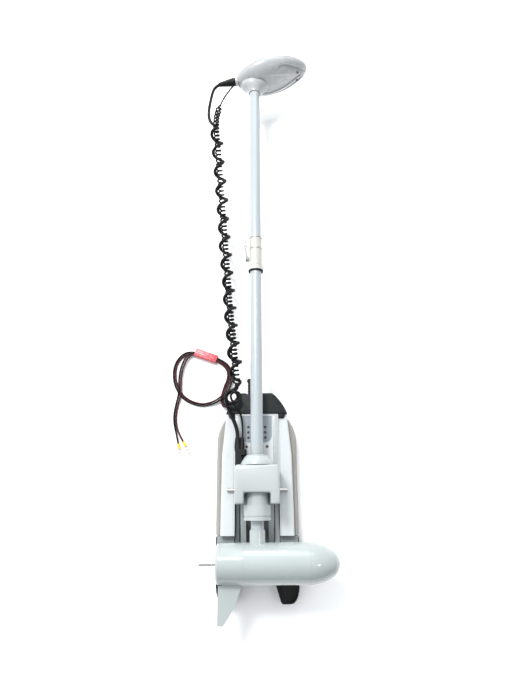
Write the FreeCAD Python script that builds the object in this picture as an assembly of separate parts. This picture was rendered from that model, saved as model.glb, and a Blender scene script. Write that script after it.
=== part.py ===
import FreeCAD, Part
import math
import os

# Bow-mount electric trolling motor, stowed flat on its deck mount. Millimetres.
# X to the motor's nose side, Y toward the head, Z up from the deck.
# The origin is the centre of the deck bolt pattern, on the underside of the deck plate.

V = FreeCAD.Vector
X_DIR = V(1, 0, 0)
Y_DIR = V(0, 1, 0)
Z_DIR = V(0, 0, 1)

# shaft
SHAFT_Z = 120.0
SHAFT_R = 15.0
SHAFT_BORE_R = 11.8
SHAFT_TOP_Y = 1086.0
SHAFT_END_Y = -158.0
FIT = 0.06

# deck mount
DECK_T = 5.0
RAIL_IN = 54.2
RAIL_OUT = 88.0
RAIL_REAR_OUT = 76.0
RAIL_TOP = 74.0
RAIL_FRONT_Y = -167.0
SKIRT_OUT = 102.0
CAP_FRONT_Y = 121.0
CAP_FRONT_HALF = 78.0
SKIRT_DRAFT = 9.0
CAP_REAR_Y = 176.0
CAP_TOP = 82.0
COVER_TOP = 78.0
COVER_FRONT_Y = -25.0
RAMP_TOP = 54.0
RAMP_TIP_Y = -322.0
RAMP_TIP_TOP = 35.0
BOLT_X = 62.0
BOLT_Y = 100.0
BOLT_R = 3.6

# swing arms
AXLE_Y = -200.0
AXLE_Z = 35.0
AXLE_R = 8.0
PIN_Y = -63.0
PIN_Z = 80.0
PIN_R = 4.0
PIN_HALF = 72.5
ARM_IN = 27.0
ARM_OUT = 40.0

# steering housing and sleeve
HOUSING_HALF = 52.0
HOUSING_FRONT_Y = -70.0
HOUSING_REAR_Y = -7.0
HOUSING_BOTTOM = 94.0
HOUSING_TOP = 162.0
CHEEK_FRONT_Y = -95.0
CHEEK_IN = 30.0
SLEEVE_R = 18.0
BARREL_R = 27.0
HUB_R = 31.5
HUB_FRONT_Y = -130.0
GEAR_MODULE = 1.5
GEAR_TEETH = 28
PINION_TEETH = 12
PINION_ANGLE = 35.0

# motor
MOTOR_Y = -222.0
MOTOR_R = 44.5
MOTOR_WALL = 3.5
BELL_TAIL_X = -93.0
CASING_TAIL_X = -32.0
CASING_NOSE_X = 115.0
NOSE_TIP_X = 185.0
PROP_R = 4.5
PROP_END_X = -132.0
JOURNAL_R = 5.0
JOURNAL_X = -94.0

# head
HEAD_TILT = 12.4
HEAD_CENTRE = V(52.0, 1136.0, SHAFT_Z)
HEAD_HALF = (109.0, 36.0, 65.0)
HEAD_WALL = 3.0

# depth collar
COLLAR_Y0 = 490.0
COLLAR_Y1 = 591.0
LEVER_PIN_X = -20.5
LEVER_PIN_Y = 527.0

# cords
LEAD_D = 5.0
RING_BORE_R = 4.2
CABLE_D = 9.0
WIRE_D = 5.0
CURLY_R = 10.0
COIL_R = 19.0
COIL_IN_R = 11.2


def box(x0, x1, y0, y1, z0, z1):
    return Part.makeBox(x1 - x0, y1 - y0, z1 - z0, V(x0, y0, z0))


def cyl_x(x0, x1, r, y, z):
    return Part.makeCylinder(r, x1 - x0, V(x0, y, z), X_DIR)


def cyl_y(y0, y1, r, x=0.0, z=SHAFT_Z):
    return Part.makeCylinder(r, y1 - y0, V(x, y0, z), Y_DIR)


def cyl_z(z0, z1, r, x, y):
    return Part.makeCylinder(r, z1 - z0, V(x, y, z0), Z_DIR)


def ring_y(y0, y1, r_out, r_in, x=0.0, z=SHAFT_Z):
    return cyl_y(y0, y1, r_out, x, z).cut(cyl_y(y0 - 1, y1 + 1, r_in, x, z))


def prism(points, direction):
    """A flat outline of straight sides, pushed along a direction."""
    return Part.Face(Part.makePolygon(points + [points[0]])).extrude(direction)


def outline(parts):
    """A closed wire from pairs of points, for straight lines, and threes, for arcs."""
    edges = []
    for part in parts:
        make = Part.Arc if len(part) == 3 else Part.LineSegment
        edges.append(make(*part).toShape())
    return Part.Wire(edges)


def mirrored(shape):
    return shape.mirror(V(0, 0, 0), X_DIR)


def rounded(shape, radius, wanted, along=None):
    """Fillet the edges whose two ends both pass the test, all of them or those along one direction."""
    edges = [e for e in shape.Edges if len(e.Vertexes) == 2 and all(wanted(v.Point) for v in e.Vertexes)]
    if along:
        edges = [e for e in edges if e.tangentAt(e.FirstParameter).cross(along).Length < 0.01]
    return shape.makeFillet(radius, edges)


def about_motor_axis(points):
    """A solid of revolution about the motor's axis, from (x, radius) points; a triple is an arc's middle."""
    edges = []
    last = points[0]
    middle = None
    for item in points[1:] + [points[0]]:
        if len(item) == 3:
            middle = item
            continue
        a = V(last[0], MOTOR_Y + last[1], SHAFT_Z)
        b = V(item[0], MOTOR_Y + item[1], SHAFT_Z)
        if middle:
            m = V(middle[0], MOTOR_Y + middle[1], SHAFT_Z)
            edges.append(Part.Arc(a, m, b).toShape())
        else:
            edges.append(Part.LineSegment(a, b).toShape())
        last = item
        middle = None
    face = Part.Face(Part.Wire(edges))
    return face.revolve(V(0, MOTOR_Y, SHAFT_Z), X_DIR, 360)


def save(node, shape):
    solids = shape.Solids
    if not solids or not shape.isValid():
        print("problem with", node)
    shape = solids[0] if len(solids) == 1 else Part.makeCompound(solids)
    shape.exportStep("parts/%s.step" % node)
    print(node, len(solids), round(shape.Volume / 1000, 1), "cm3")


# ---------------------------------------------------------------- deck mount

def base_wire(z, inset=0.0):
    """The mount's plan outline: straight sides, drawn in to the rear by an arc and the cap's corners."""
    a = V(SKIRT_OUT - inset, RAIL_FRONT_Y, z)
    b = V(a.x, 60, z)
    c = V(93.5 - inset, 95, z)
    d = V(CAP_FRONT_HALF - inset, CAP_FRONT_Y, z)
    e = V(64 - inset, 149, z)
    f = V(47 - inset, 169 - inset, z)
    g = V(40 - inset, CAP_REAR_Y - inset, z)
    half = [(a, b), (b, c, d), (d, e, f), (f, g)]
    other = [tuple(V(-p.x, p.y, p.z) for p in reversed(part)) for part in reversed(half)]
    return outline(half + [(g, V(-g.x, g.y, z))] + other + [(V(-a.x, a.y, z), a)])


def base_outline(z0, z1, inset=0.0):
    return Part.Face(base_wire(z0, inset)).extrude(V(0, 0, z1 - z0))


def deck_plate():
    plate = base_outline(0, DECK_T, 14.4).common(box(-120, 120, RAIL_FRONT_Y, 170, -1, 10))
    plate = plate.fuse(box(-53.8, 53.8, -226, RAIL_FRONT_Y + 1, 0, DECK_T)).removeSplitter()
    for x in (-BOLT_X, BOLT_X):
        for y in (-BOLT_Y, 0, BOLT_Y):
            plate = plate.cut(cyl_z(-1, DECK_T + 1, BOLT_R, x, y))
    return plate


def bracket():
    wall = box(42, 53.7, -226, -28, DECK_T, 60)
    wall = rounded(wall, 3, lambda p: p.z > 59, Y_DIR)
    return wall.cut(cyl_x(41, 55, AXLE_R, AXLE_Y, AXLE_Z))


def rail_plan(grow, z0, z1):
    """The rail seen from above: its outer side leans in toward the rear cap."""
    corners = [
        V(RAIL_IN, RAIL_FRONT_Y - grow, z0),
        V(RAIL_OUT + grow, RAIL_FRONT_Y - grow, z0),
        V(86.0 + grow, 20, z0),
        V(RAIL_REAR_OUT + grow, CAP_FRONT_Y - 0.3, z0),
        V(RAIL_IN, CAP_FRONT_Y - 0.3, z0),
    ]
    return prism(corners, V(0, 0, z1 - z0))


def rail():
    outer = rounded(rail_plan(0, DECK_T, RAIL_TOP), 5, lambda p: p.z > RAIL_TOP - 1 and p.x > RAIL_IN + 5)
    inner = rail_plan(-3, DECK_T - 1, RAIL_TOP - 3.5)
    return outer.cut(inner.common(box(RAIL_IN + 3, RAIL_OUT, RAIL_FRONT_Y + 4, CAP_FRONT_Y - 4, 0, RAIL_TOP)))


def skirt():
    """A taupe wall outside the rail, upright below and leaning in above."""
    low = Part.Face(base_wire(0)).extrude(V(0, 0, 18))
    high = Part.makeLoft([base_wire(18), base_wire(58, SKIRT_DRAFT)], True, True)
    wall = low.fuse(high).cut(rail_plan(0.3, -1, 100))
    wall = wall.common(box(RAIL_REAR_OUT, 120, RAIL_FRONT_Y, 112, -1, 100))
    wall = wall.cut(base_outline(-1, DECK_T + 0.3, 14.1))
    return wall.cut(box(RAIL_OUT + 3, SKIRT_OUT - 4, RAIL_FRONT_Y + 4, 55, -1, 16))


def ramp():
    z = V(0, 0, RAMP_TOP)
    a = V(RAIL_IN, RAIL_FRONT_Y - 0.4, 0)
    plan = [
        Part.LineSegment(a, V(100, a.y, 0)).toShape(),
        Part.LineSegment(V(100, a.y, 0), V(98.5, -282, 0)).toShape(),
        Part.Arc(V(98.5, -282, 0), V(91, -309, 0), V(74, RAMP_TIP_Y, 0)).toShape(),
        Part.LineSegment(V(74, RAMP_TIP_Y, 0), V(62, RAMP_TIP_Y, 0)).toShape(),
        Part.Arc(V(62, RAMP_TIP_Y, 0), V(57, -320, 0), V(54, -315, 0)).toShape(),
        Part.LineSegment(V(54, -315, 0), V(43, -280, 0)).toShape(),
        Part.LineSegment(V(43, -280, 0), V(43, -229, 0)).toShape(),
        Part.LineSegment(V(43, -229, 0), V(RAIL_IN, -229, 0)).toShape(),
        Part.LineSegment(V(RAIL_IN, -229, 0), a).toShape(),
    ]
    block = Part.Face(Part.Wire(plan)).extrude(z)
    wedge = [V(30, -262, RAMP_TOP), V(30, -330, RAMP_TIP_TOP - 2), V(30, -330, 80), V(30, -262, 80)]
    return block.cut(prism(wedge, V(90, 0, 0)))


def centre_cover():
    outer = box(-53.8, 53.8, COVER_FRONT_Y, CAP_FRONT_Y - 0.3, 24, COVER_TOP)
    outer = rounded(outer, 5, lambda p: p.z > COVER_TOP - 1 and p.y < COVER_FRONT_Y + 1, X_DIR)
    outer = outer.cut(box(-50, 50, COVER_FRONT_Y + 3.5, CAP_FRONT_Y - 4, 23, COVER_TOP - 6))
    return outer.cut(control_plan(0.4, COVER_TOP - 3, COVER_TOP + 5))


def control_plan(grow, z0, z1):
    """The control plate's outline: a U with its round end to the motor."""
    half = 37 + grow
    plate = box(-half, half, 50 - grow, CAP_FRONT_Y - 6 + grow, z0, z1)
    return rounded(plate, 18, lambda p: p.y < 55, Z_DIR)


def control_cover():
    return control_plan(0, COVER_TOP - 3, COVER_TOP - 0.4)


def cover_screws():
    heads = []
    for x in (-21, 21):
        for y in (62, 75, 88):
            heads.append(cyl_z(COVER_TOP - 0.4, COVER_TOP + 1, 2.6, x, y))
        heads.append(cyl_z(COVER_TOP, COVER_TOP + 1.4, 3.2, x * 1.2, 40))
    return Part.makeCompound(heads)


def rear_cap():
    cap = base_outline(DECK_T, CAP_TOP, 1.5).common(box(-120, 120, CAP_FRONT_Y, 200, 0, 100))
    hollow = base_outline(DECK_T - 1, CAP_TOP - 4, 5)
    cap = cap.cut(hollow.common(box(-120, 120, CAP_FRONT_Y + 4, 200, 0, 100)))
    slot = box(-25, -11, CAP_REAR_Y - 12, CAP_REAR_Y + 5, 57, 77)
    return cap.cut(slot).cut(cyl_x(-90, -50, 8, 150, 17))


def lead_grommet():
    """A rubber bush in the rear cap's left wall, with one hole for each lead."""
    bush = cyl_x(-74, -60, 8, 150, 17)
    for y in (-PAIR_HALF, PAIR_HALF):
        bush = bush.cut(cyl_x(-76, -58, LEAD_D / 2, 150 + y, 17))
    return bush


def shaft_rest():
    post = box(-14, 14, -166, -155, DECK_T, SHAFT_Z - 18.7)
    return rounded(post, 3, lambda p: p.z > SHAFT_Z - 20, X_DIR)


def arm_axle():
    return cyl_x(-53.7, 53.7, AXLE_R, AXLE_Y, AXLE_Z)


# ---------------------------------------------------------------- latch

LEVER_Y = 158.0
LEVER_Z = 64.0
HOOK_Y = -50.0
HOOK_Z = 42.0


def release_lever():
    arm = box(-22, -14, LEVER_Y, 208, LEVER_Z - 3, LEVER_Z + 3)
    arm = arm.fuse(cyl_x(-22, -14, 5, LEVER_Y, LEVER_Z)).fuse(cyl_z(LEVER_Z - 3, LEVER_Z + 3, 6, -18, 208))
    return arm.removeSplitter().cut(cyl_x(-23, -13, 2.05, LEVER_Y, LEVER_Z))


def lever_stand():
    stand = cyl_x(-30, -6, 2, LEVER_Y, LEVER_Z)
    for x in (-30, -11):
        stand = stand.fuse(box(x, x + 5, LEVER_Y - 5, LEVER_Y + 5, DECK_T, LEVER_Z + 4))
    return stand.removeSplitter()


def latch_hook():
    """A hook that turns on a pin below the housing and catches the cross pin from behind."""
    x = V(12, 0, 0)
    stem = prism([V(-6, -56, 36), V(-6, -44, 36), V(-6, -50, 88.6), V(-6, -58, 88.6)], x)
    nose = box(-6, 6, -68, -51, 84.6, 88.6)
    hook = stem.fuse(nose).fuse(cyl_x(-6, 6, 7, HOOK_Y, HOOK_Z)).removeSplitter()
    hook = hook.cut(cyl_x(-7, 7, 3.05, HOOK_Y, HOOK_Z))
    return hook.cut(cyl_x(-7, 7, PIN_R + 0.5, PIN_Y, PIN_Z))


def hook_stand():
    posts = box(-14, -7, -58, -42, DECK_T, 50).fuse(box(7, 14, -58, -42, DECK_T, 50))
    return posts.fuse(cyl_x(-14, 14, 3, HOOK_Y, HOOK_Z)).removeSplitter()


# ---------------------------------------------------------------- swing arms

def swing_arm():
    """A flat bar with a boss at each end, bored for the axle and the cross pin."""
    low_r = 14.0
    high_r = 12.0
    along = V(0, PIN_Y - AXLE_Y, PIN_Z - AXLE_Z).normalize()
    side = V(0, -along.z, along.y)
    a = V(ARM_IN, AXLE_Y, AXLE_Z)
    b = V(ARM_IN, PIN_Y, PIN_Z)
    bar = prism([a + side * low_r, b + side * high_r, b - side * high_r, a - side * low_r],
                V(ARM_OUT - ARM_IN, 0, 0))
    bar = bar.fuse(cyl_x(ARM_IN, ARM_OUT, low_r, AXLE_Y, AXLE_Z))
    bar = bar.fuse(cyl_x(ARM_IN, ARM_OUT, high_r, PIN_Y, PIN_Z)).removeSplitter()
    bar = bar.cut(cyl_x(ARM_IN - 1, ARM_OUT + 1, AXLE_R + FIT, AXLE_Y, AXLE_Z))
    return bar.cut(cyl_x(ARM_IN - 1, ARM_OUT + 1, PIN_R + FIT, PIN_Y, PIN_Z))


# ---------------------------------------------------------------- steering housing

def housing_shell():
    body = box(-HOUSING_HALF, HOUSING_HALF, HOUSING_FRONT_Y, HOUSING_REAR_Y, HOUSING_BOTTOM, HOUSING_TOP)
    for x0, x1 in ((-HOUSING_HALF, -CHEEK_IN), (CHEEK_IN, HOUSING_HALF)):
        body = body.fuse(box(x0, x1, CHEEK_FRONT_Y, HOUSING_FRONT_Y, HOUSING_BOTTOM, HOUSING_TOP))
    body = body.removeSplitter()
    body = rounded(body, 20, lambda p: p.z > HOUSING_TOP - 1 and abs(p.x) > HOUSING_HALF - 1, Y_DIR)
    for x0, x1 in ((-HOUSING_HALF, -41.5), (41.5, HOUSING_HALF)):
        body = body.fuse(box(x0, x1, -76, -50, 68, HOUSING_BOTTOM + 6))
    inside = box(-47, 47, HOUSING_FRONT_Y + 4, HOUSING_REAR_Y - 4, HOUSING_BOTTOM - 1, HOUSING_TOP - 14)
    body = body.cut(inside).cut(cyl_y(-72, 0, 21))
    return body.cut(cyl_x(-60, 60, PIN_R, PIN_Y, PIN_Z))


def housing_cover():
    return box(-46.8, 46.8, HOUSING_FRONT_Y + 4.2, HOUSING_REAR_Y - 4.2, HOUSING_BOTTOM, HOUSING_BOTTOM + 3)


def housing_collar():
    cone = Part.makeCone(37, 26.5, 23, V(0, HOUSING_REAR_Y, SHAFT_Z), Y_DIR)
    return cone.cut(cyl_y(-8, 9, SLEEVE_R + 0.5)).cut(cyl_y(0, 20, SHAFT_R + 0.5))


def sleeve_bushes():
    rear = ring_y(-12.5, -7, 21, SLEEVE_R + FIT)
    return Part.makeCompound([rear, ring_y(-70, -64.5, 21, SLEEVE_R + FIT)])


def pinion_centre():
    span = GEAR_MODULE * (GEAR_TEETH + PINION_TEETH) / 2
    turn = math.radians(PINION_ANGLE)
    return span * math.cos(turn), SHAFT_Z + span * math.sin(turn)


def steering_motor():
    x, z = pinion_centre()
    can = cyl_y(-64, -28, 10.5, x, z).cut(cyl_y(-40, -27, 2.5 + FIT, x, z))
    return can


def gear(teeth, y0, y1, x, z, first_angle):
    """A spur gear with straight-flanked teeth, one tooth centred on the first angle."""
    pitch_r = GEAR_MODULE * teeth / 2
    root_r = pitch_r - 1.15 * GEAR_MODULE
    tip_r = pitch_r + 0.75 * GEAR_MODULE
    step = 2 * math.pi / teeth
    points = []
    for k in range(teeth):
        middle = math.radians(first_angle) + k * step
        for share, r in ((-0.30, root_r), (-0.11, tip_r), (0.11, tip_r), (0.30, root_r)):
            angle = middle + share * step
            points.append(V(x + r * math.cos(angle), y0, z + r * math.sin(angle)))
    return prism(points, V(0, y1 - y0, 0))


def steering_pinion():
    x, z = pinion_centre()
    gap_angle = PINION_ANGLE + 180 + 180.0 / PINION_TEETH
    return gear(PINION_TEETH, -25, -14, x, z, gap_angle).fuse(cyl_y(-38, -20, 2.5, x, z))


def cord_gland():
    """The black block beside the collar that both coiled cords end in."""
    block = box(-52, -25, HOUSING_REAR_Y + 0.1, 30, 92, 122)
    block = rounded(block, 4, lambda p: p.z > 120, Y_DIR)
    return block.cut(cyl_y(-10, 17, 37.5))


# ---------------------------------------------------------------- steering sleeve

def drive_sleeve():
    body = cyl_y(-69.8, 8, SLEEVE_R)
    body = body.fuse(cyl_y(-97, -70.4, BARREL_R)).fuse(cyl_y(-75, -69, SLEEVE_R))
    body = body.fuse(cyl_y(HUB_FRONT_Y, -97, HUB_R)).removeSplitter()
    body = body.fuse(gear(GEAR_TEETH, -24, -15, 0, SHAFT_Z, PINION_ANGLE)).removeSplitter()
    body = body.cut(ring_y(-124, -120, 40, HUB_R - 1.5))
    bore = cyl_y(-140, 20, SHAFT_R + FIT).cut(box(-2.1, 2.1, -140, 20, 100, SHAFT_Z - SHAFT_R + 0.9))
    return body.cut(bore)


# ---------------------------------------------------------------- shaft, motor and head

def composite_shaft():
    tube = ring_y(SHAFT_END_Y, SHAFT_TOP_Y, SHAFT_R, SHAFT_BORE_R)
    return tube.cut(box(-2.5, 2.5, -148, 900, 100, SHAFT_Z - SHAFT_R + 1.4))


def neck_tube():
    neck = ring_y(-190, -151, SLEEVE_R, SHAFT_BORE_R).cut(cyl_y(SHAFT_END_Y, -150, SHAFT_R))
    return neck.cut(cyl_x(-60, 60, MOTOR_R, MOTOR_Y, SHAFT_Z))


def motor_casing():
    tube = cyl_x(CASING_TAIL_X, CASING_NOSE_X, MOTOR_R, MOTOR_Y, SHAFT_Z)
    tube = tube.cut(cyl_x(-40, 120, MOTOR_R - MOTOR_WALL, MOTOR_Y, SHAFT_Z))
    return tube.cut(cyl_y(-200, -160, 8))


def rear_bell():
    return about_motor_axis([
        (CASING_TAIL_X, 34), (CASING_TAIL_X, MOTOR_R), (-86, 43), (-91.5, 41, 0), (BELL_TAIL_X, 36),
        (BELL_TAIL_X, 11), (-84, 11), (-84, 30), (-60, 34),
    ])


def nose_cone():
    return about_motor_axis([
        (CASING_NOSE_X, MOTOR_R - MOTOR_WALL), (CASING_NOSE_X, MOTOR_R), (143, 40, 0), (166, 29.5),
        (180, 17, 0), (NOSE_TIP_X, 3),
        (NOSE_TIP_X, 0), (NOSE_TIP_X - 6, 0), (NOSE_TIP_X - 6, 3), (157, 30, 0),
    ])


def skeg():
    a = V(-88, -254, SHAFT_Z - 2.5)
    b = V(-89, -347, a.z)
    c = V(-77, -348, a.z)
    d = V(-36, -264, a.z)
    edges = [
        Part.LineSegment(a, b).toShape(),
        Part.LineSegment(b, c).toShape(),
        Part.Arc(c, V(-53, -311, a.z), d).toShape(),
        Part.LineSegment(d, a).toShape(),
    ]
    fin = Part.Face(Part.Wire(edges)).extrude(V(0, 0, 5))
    return fin.cut(cyl_x(-95, -30, MOTOR_R + 0.05, MOTOR_Y, SHAFT_Z)).fuse(
        box(-80, -38, -267.5, -262, SHAFT_Z - 2.5, SHAFT_Z + 2.5)).cut(solid_bell())


def solid_bell():
    return about_motor_axis([
        (CASING_TAIL_X + 20, 0), (CASING_TAIL_X + 20, MOTOR_R), (CASING_TAIL_X, MOTOR_R), (-86, 43),
        (-91.5, 41, 0), (BELL_TAIL_X, 36), (BELL_TAIL_X, 0),
    ])


def motor_magnets():
    ring = cyl_x(-10, 70, 40.8, MOTOR_Y, SHAFT_Z).cut(cyl_x(-11, 71, 33, MOTOR_Y, SHAFT_Z))
    return ring.cut(box(-20, 80, MOTOR_Y - 50, MOTOR_Y + 50, SHAFT_Z - 12, SHAFT_Z + 12))


def motor_bearings():
    rear = cyl_x(-92.5, -84, 11, MOTOR_Y, SHAFT_Z).cut(cyl_x(-95, -80, JOURNAL_R + FIT, MOTOR_Y, SHAFT_Z))
    front = cyl_x(105, 113, 40.9, MOTOR_Y, SHAFT_Z).cut(cyl_x(100, 120, JOURNAL_R + FIT, MOTOR_Y, SHAFT_Z))
    return Part.makeCompound([rear, front])


def prop_shaft():
    """The armature's shaft: thicker in its bearings, with a shoulder for the propeller's hub."""
    rod = cyl_x(PROP_END_X, JOURNAL_X, PROP_R, MOTOR_Y, SHAFT_Z)
    rod = rod.fuse(cyl_x(JOURNAL_X, 111, JOURNAL_R, MOTOR_Y, SHAFT_Z))
    return rod.cut(cyl_z(SHAFT_Z - 6, SHAFT_Z + 6, 1.6, -104, MOTOR_Y))


def armature():
    core = cyl_x(-6, 66, 31.5, MOTOR_Y, SHAFT_Z).fuse(cyl_x(74, 92, 14, MOTOR_Y, SHAFT_Z))
    core = core.fuse(cyl_x(66, 74, 24, MOTOR_Y, SHAFT_Z))
    return core.removeSplitter().cut(cyl_x(-10, 100, JOURNAL_R, MOTOR_Y, SHAFT_Z))


def head_solid(shrink):
    """The head's egg: a ball stretched three ways, then tilted with its nose up the shaft."""
    ball = Part.makeSphere(1.0)
    matrix = FreeCAD.Matrix()
    matrix.scale(HEAD_HALF[0] - shrink, HEAD_HALF[1] - shrink, HEAD_HALF[2] - shrink)
    return ball.transformGeometry(matrix)


def placed_head(shape):
    shape = shape.copy()
    shape.rotate(V(0, 0, 0), Z_DIR, HEAD_TILT)
    shape.translate(HEAD_CENTRE)
    return shape


def head_half(upper):
    y0, y1 = (0.15, 60) if upper else (-60, -0.15)
    shell = head_solid(0).cut(head_solid(HEAD_WALL))
    return placed_head(shell.common(box(-130, 130, y0, y1, -90, 90)))


def head_boss():
    boss = Part.makeCone(19, 40, 34, V(0, 1066, SHAFT_Z), Y_DIR)
    return boss.cut(cyl_y(1040, 1110, SHAFT_R)).cut(placed_head(head_solid(0)))


def head_screws():
    """Six pan heads proud of the lower shell's underside, in pairs along the head."""
    screws = []
    for x, z_out in ((-90, 24), (-6, 26), (74, 14)):
        for z in (-z_out, z_out):
            drop = HEAD_HALF[1] * math.sqrt(1 - (x / HEAD_HALF[0]) ** 2 - (z / HEAD_HALF[2]) ** 2)
            screws.append(Part.makeCylinder(3, 3, V(x, -drop - 1.2, z), Y_DIR).cut(head_solid(0)))
    return placed_head(Part.makeCompound(screws))


def head_board():
    return placed_head(box(-50, 70, 4, 6, -34, 34))


def strain_relief():
    body = Part.makeCone(12, 6.5, 52, V(-107, 0, 0), V(-1, 0, 0))
    body = body.fuse(Part.makeCylinder(13, 6, V(-107, 0, 0), X_DIR))
    return placed_head(body.cut(head_solid(0)).cut(Part.makeCylinder(CABLE_D / 2, 20, V(-160, 0, 0), X_DIR)))


# ---------------------------------------------------------------- depth collar

def collar_sleeve():
    tube = ring_y(COLLAR_Y0 + 12, COLLAR_Y1, 16.6, SHAFT_R + FIT)
    tube = tube.fuse(ring_y(COLLAR_Y0 + 3, COLLAR_Y0 + 12, 20, SHAFT_R + FIT)).removeSplitter()
    lug = box(LEVER_PIN_X, -15.5, LEVER_PIN_Y - 3, LEVER_PIN_Y + 3, SHAFT_Z - 6, SHAFT_Z + 6)
    lug = lug.fuse(cyl_z(SHAFT_Z - 6, SHAFT_Z + 6, 3, LEVER_PIN_X, LEVER_PIN_Y))
    tube = tube.fuse(lug).removeSplitter().cut(cyl_y(COLLAR_Y0, COLLAR_Y1, SHAFT_R + FIT))
    return tube.cut(cyl_z(100, 140, 2 + FIT, LEVER_PIN_X, LEVER_PIN_Y))


def collar_bumper():
    return ring_y(COLLAR_Y0, COLLAR_Y0 + 3, 19.5, SHAFT_R + 0.4)


def collar_lever():
    """The clamp's lever, folded along the sleeve, with an ear on each side of the lug."""
    x, y = LEVER_PIN_X, LEVER_PIN_Y
    lever = box(x - 6.5, x - 3.6, y - 3, y + 51, SHAFT_Z - 7, SHAFT_Z + 7)
    for z in (SHAFT_Z - 9.5, SHAFT_Z + 6.4):
        lever = lever.fuse(box(x - 6.5, x + 2.5, y - 3, y + 3, z, z + 3.1))
    return lever.fuse(cyl_z(SHAFT_Z - 10, SHAFT_Z + 10, 2, x, y)).removeSplitter()


# ---------------------------------------------------------------- cords

CABLE_TOP = [
    (-103.3, 1101.9, 120), (-116, 1096, 119), (-125, 1078, 117), (-130, 1052, 115), (-135, 1022, 113),
    (-136, 994, 112), (-129.5, 972, 111), (-128.5, 963.5, 110),
]
WIRE_TOP = [(-65, 1098.5, 117), (-77, 1084, 113), (-90, 1066, 110), (-100.4, 1044, 107.2)]
CURLY_START = [(-101, 1042, 107), (-112, 1004, 109)]
COIL = [
    (-114, 962, 110), (-108, 900, 104), (-104, 830, 84), (-97, 745, 58), (-90, 650, 44), (-83, 560, 42),
    (-76, 470, 46), (-68, 385, 62), (-60, 310, 84), (-54, 240, 101), (-48, 178, 106),
]
CABLE_END = [
    (-60, 170, 103), (-68, 146, 101), (-66, 122, 99), (-56, 100, 96.5), (-48, 78, 95.5), (-47, 56, 97),
    (-46, 42, 101.5), (-45.5, 31.6, 104),
]
WIRE_END = [
    (-47.5, 176.5, 106), (-42, 150, 102), (-39, 120, 97), (-35, 90, 94), (-35, 62, 95), (-36, 44, 101),
    (-36, 31.6, 104),
]
LEAD = [
    (-76, 150, 17), (-89, 153, 9.5), (-93, 172, 3.2), (-86, 202, 2.8), (-74, 230, 2.8), (-76, 256, 2.8),
    (-98, 276.5, 2.8), (-124, 287.2, 2.8), (-162.4, 300.9, 2.8), (-196, 302, 2.8), (-220, 274, 2.8),
    (-224, 238, 2.8), (-216, 204, 2.8), (-192, 172, 2.8), (-152, 156, 2.8), (-122, 160, 4.5),
    (-100, 170, 10.4), (-82, 188, 10), (-70, 214, 9), (-66, 240, 9), (-78, 264, 9), (-98, 277.5, 9),
    (-124, 287.2, 9), (-162.4, 300.9, 9), (-186, 295, 9.4), (-200, 268, 9.4), (-206, 238, 8.8),
    (-206, 208, 9.4), (-206, 182, 9.2), (-213, 158, 4.4), (-217, 132, 2.8), (-216, 108, 2.8),
    (-209, 82, 2.8), (-199, 58, 2.8),
]
PAIR_HALF = 2.8
PAIR_SPREAD = 2.5
TAG_HALF = (32, 11)
TAG_TURN = -19.6
TAG_CENTRE = V(-137, 291.9, 0)


def route_path(points):
    """Straight runs joined by arcs as large as the two runs at each corner allow."""
    pts = [V(*p) for p in points]
    edges = []
    radii = []
    last = pts[0]
    for a, b, c in zip(pts, pts[1:], pts[2:]):
        u = (a - b).normalize()
        w = (c - b).normalize()
        turn = math.pi - u.getAngle(w)
        reach = 0.45 * min((a - b).Length, (c - b).Length)
        radius = reach / math.tan(turn / 2)
        bisector = (u + w).normalize()
        start = b + u * reach
        end = b + w * reach
        middle = b + bisector * (radius / math.cos(turn / 2) - radius)
        edges.append(Part.LineSegment(last, start).toShape())
        edges.append(Part.Arc(start, middle, end).toShape())
        radii.append(round(radius))
        last = end
    edges.append(Part.LineSegment(last, pts[-1]).toShape())
    return Part.Wire(edges), radii


def tube_on(points, radius, name):
    path, radii = route_path(points)
    start = V(*points[0])
    along = V(*points[1]) - start
    circle = Part.Wire(Part.Circle(start, along, radius).toShape())
    tube = path.makePipeShell([circle], True, False)
    print(name, "length", round(path.Length), "radii", radii,
          "volume ratio", round(tube.Volume / (math.pi * radius ** 2 * path.Length), 3))
    return tube


def lead_route(side):
    """One wire of the pair: it keeps to its side of the route, and leaves the other at the end."""
    last = len(LEAD) - 1
    out = []
    for k, (x, y, z) in enumerate(LEAD):
        ahead = LEAD[min(k + 1, last)]
        behind = LEAD[max(k - 1, 0)]
        along = V(ahead[0] - behind[0], ahead[1] - behind[1], 0).normalize()
        gap = side * PAIR_HALF * (PAIR_SPREAD if k == last else 1)
        out.append((x - along.y * gap, y + along.x * gap, z))
    return out


def lead_end(side):
    """Where a wire ends, and the way that it points there, along the deck."""
    route = lead_route(side)
    end = V(*route[-1])
    along = end - V(*route[-2])
    along.z = 0
    return end, along.normalize()


def terminal_sleeve(side):
    end, along = lead_end(side)
    return Part.makeCylinder(3.6, 14, end + V(0, 0, 1) + along * 0.2, along)


def ring_terminal(side):
    """A flat ring on a tongue, crimped into the far end of its sleeve."""
    end, along = lead_end(side)
    start = end + along * 14.4
    centre = end + along * 27
    across = V(-along.y, along.x, 0) * 2.6
    tongue = prism([start + across, centre + across, centre - across, start - across], V(0, 0, 1.2))
    ring = Part.makeCylinder(6.6, 1.2, centre, Z_DIR).fuse(tongue).removeSplitter()
    return ring.cut(Part.makeCylinder(RING_BORE_R, 4, centre - V(0, 0, 1), Z_DIR))


def lead_tag():
    """The label folded round both passes of the pair."""
    x, y = TAG_HALF
    tag = box(-x, x, -y, y, 0, 14.6).cut(box(-x - 4, x + 4, 1.5 - y, y - 1.5, 0.25, 13.8))
    tag.rotate(V(0, 0, 0), Z_DIR, TAG_TURN)
    tag.translate(TAG_CENTRE)
    return tag


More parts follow.
